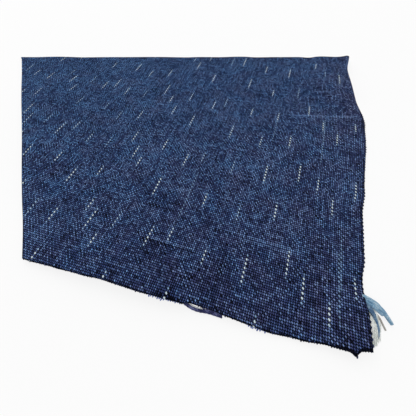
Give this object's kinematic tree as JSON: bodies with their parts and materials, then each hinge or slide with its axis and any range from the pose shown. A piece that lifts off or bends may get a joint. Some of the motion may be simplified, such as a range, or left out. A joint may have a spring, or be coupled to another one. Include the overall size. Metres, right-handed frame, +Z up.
{
  "type": "cut length of warp-ikat cotton cloth",
  "caption": "Cut cloth of plain-woven indigo cotton with short white warp-ikat dashes, lying nearly flat, with a selvedge, raw cut edges and loose yarn ends, for sewing or display.",
  "frame": {"origin": "middle of the underside of the whole thing's box, on the surface it lies on", "axes": "+X along the weft towards the selvedge, +Y along the warp towards the far cut, +Z up off the surface"},
  "size_m": [0.1344, 0.0994, 0.004],
  "materials": {
    "indigo_cotton": "matt plain-woven cotton, indigo ground with short white warp-ikat dashes",
    "dark_weft_yarn": "matt twisted cotton yarn, deep indigo",
    "pale_yarn_ends": "matt loose cotton yarn ends, light blue, grey and white"
  },
  "bodies": {
    "root": {"cloth": "indigo_cotton", "loose_weft_yarns": "dark_weft_yarn", "corner_thread_ends": "pale_yarn_ends"}
  },
  "joints": []
}
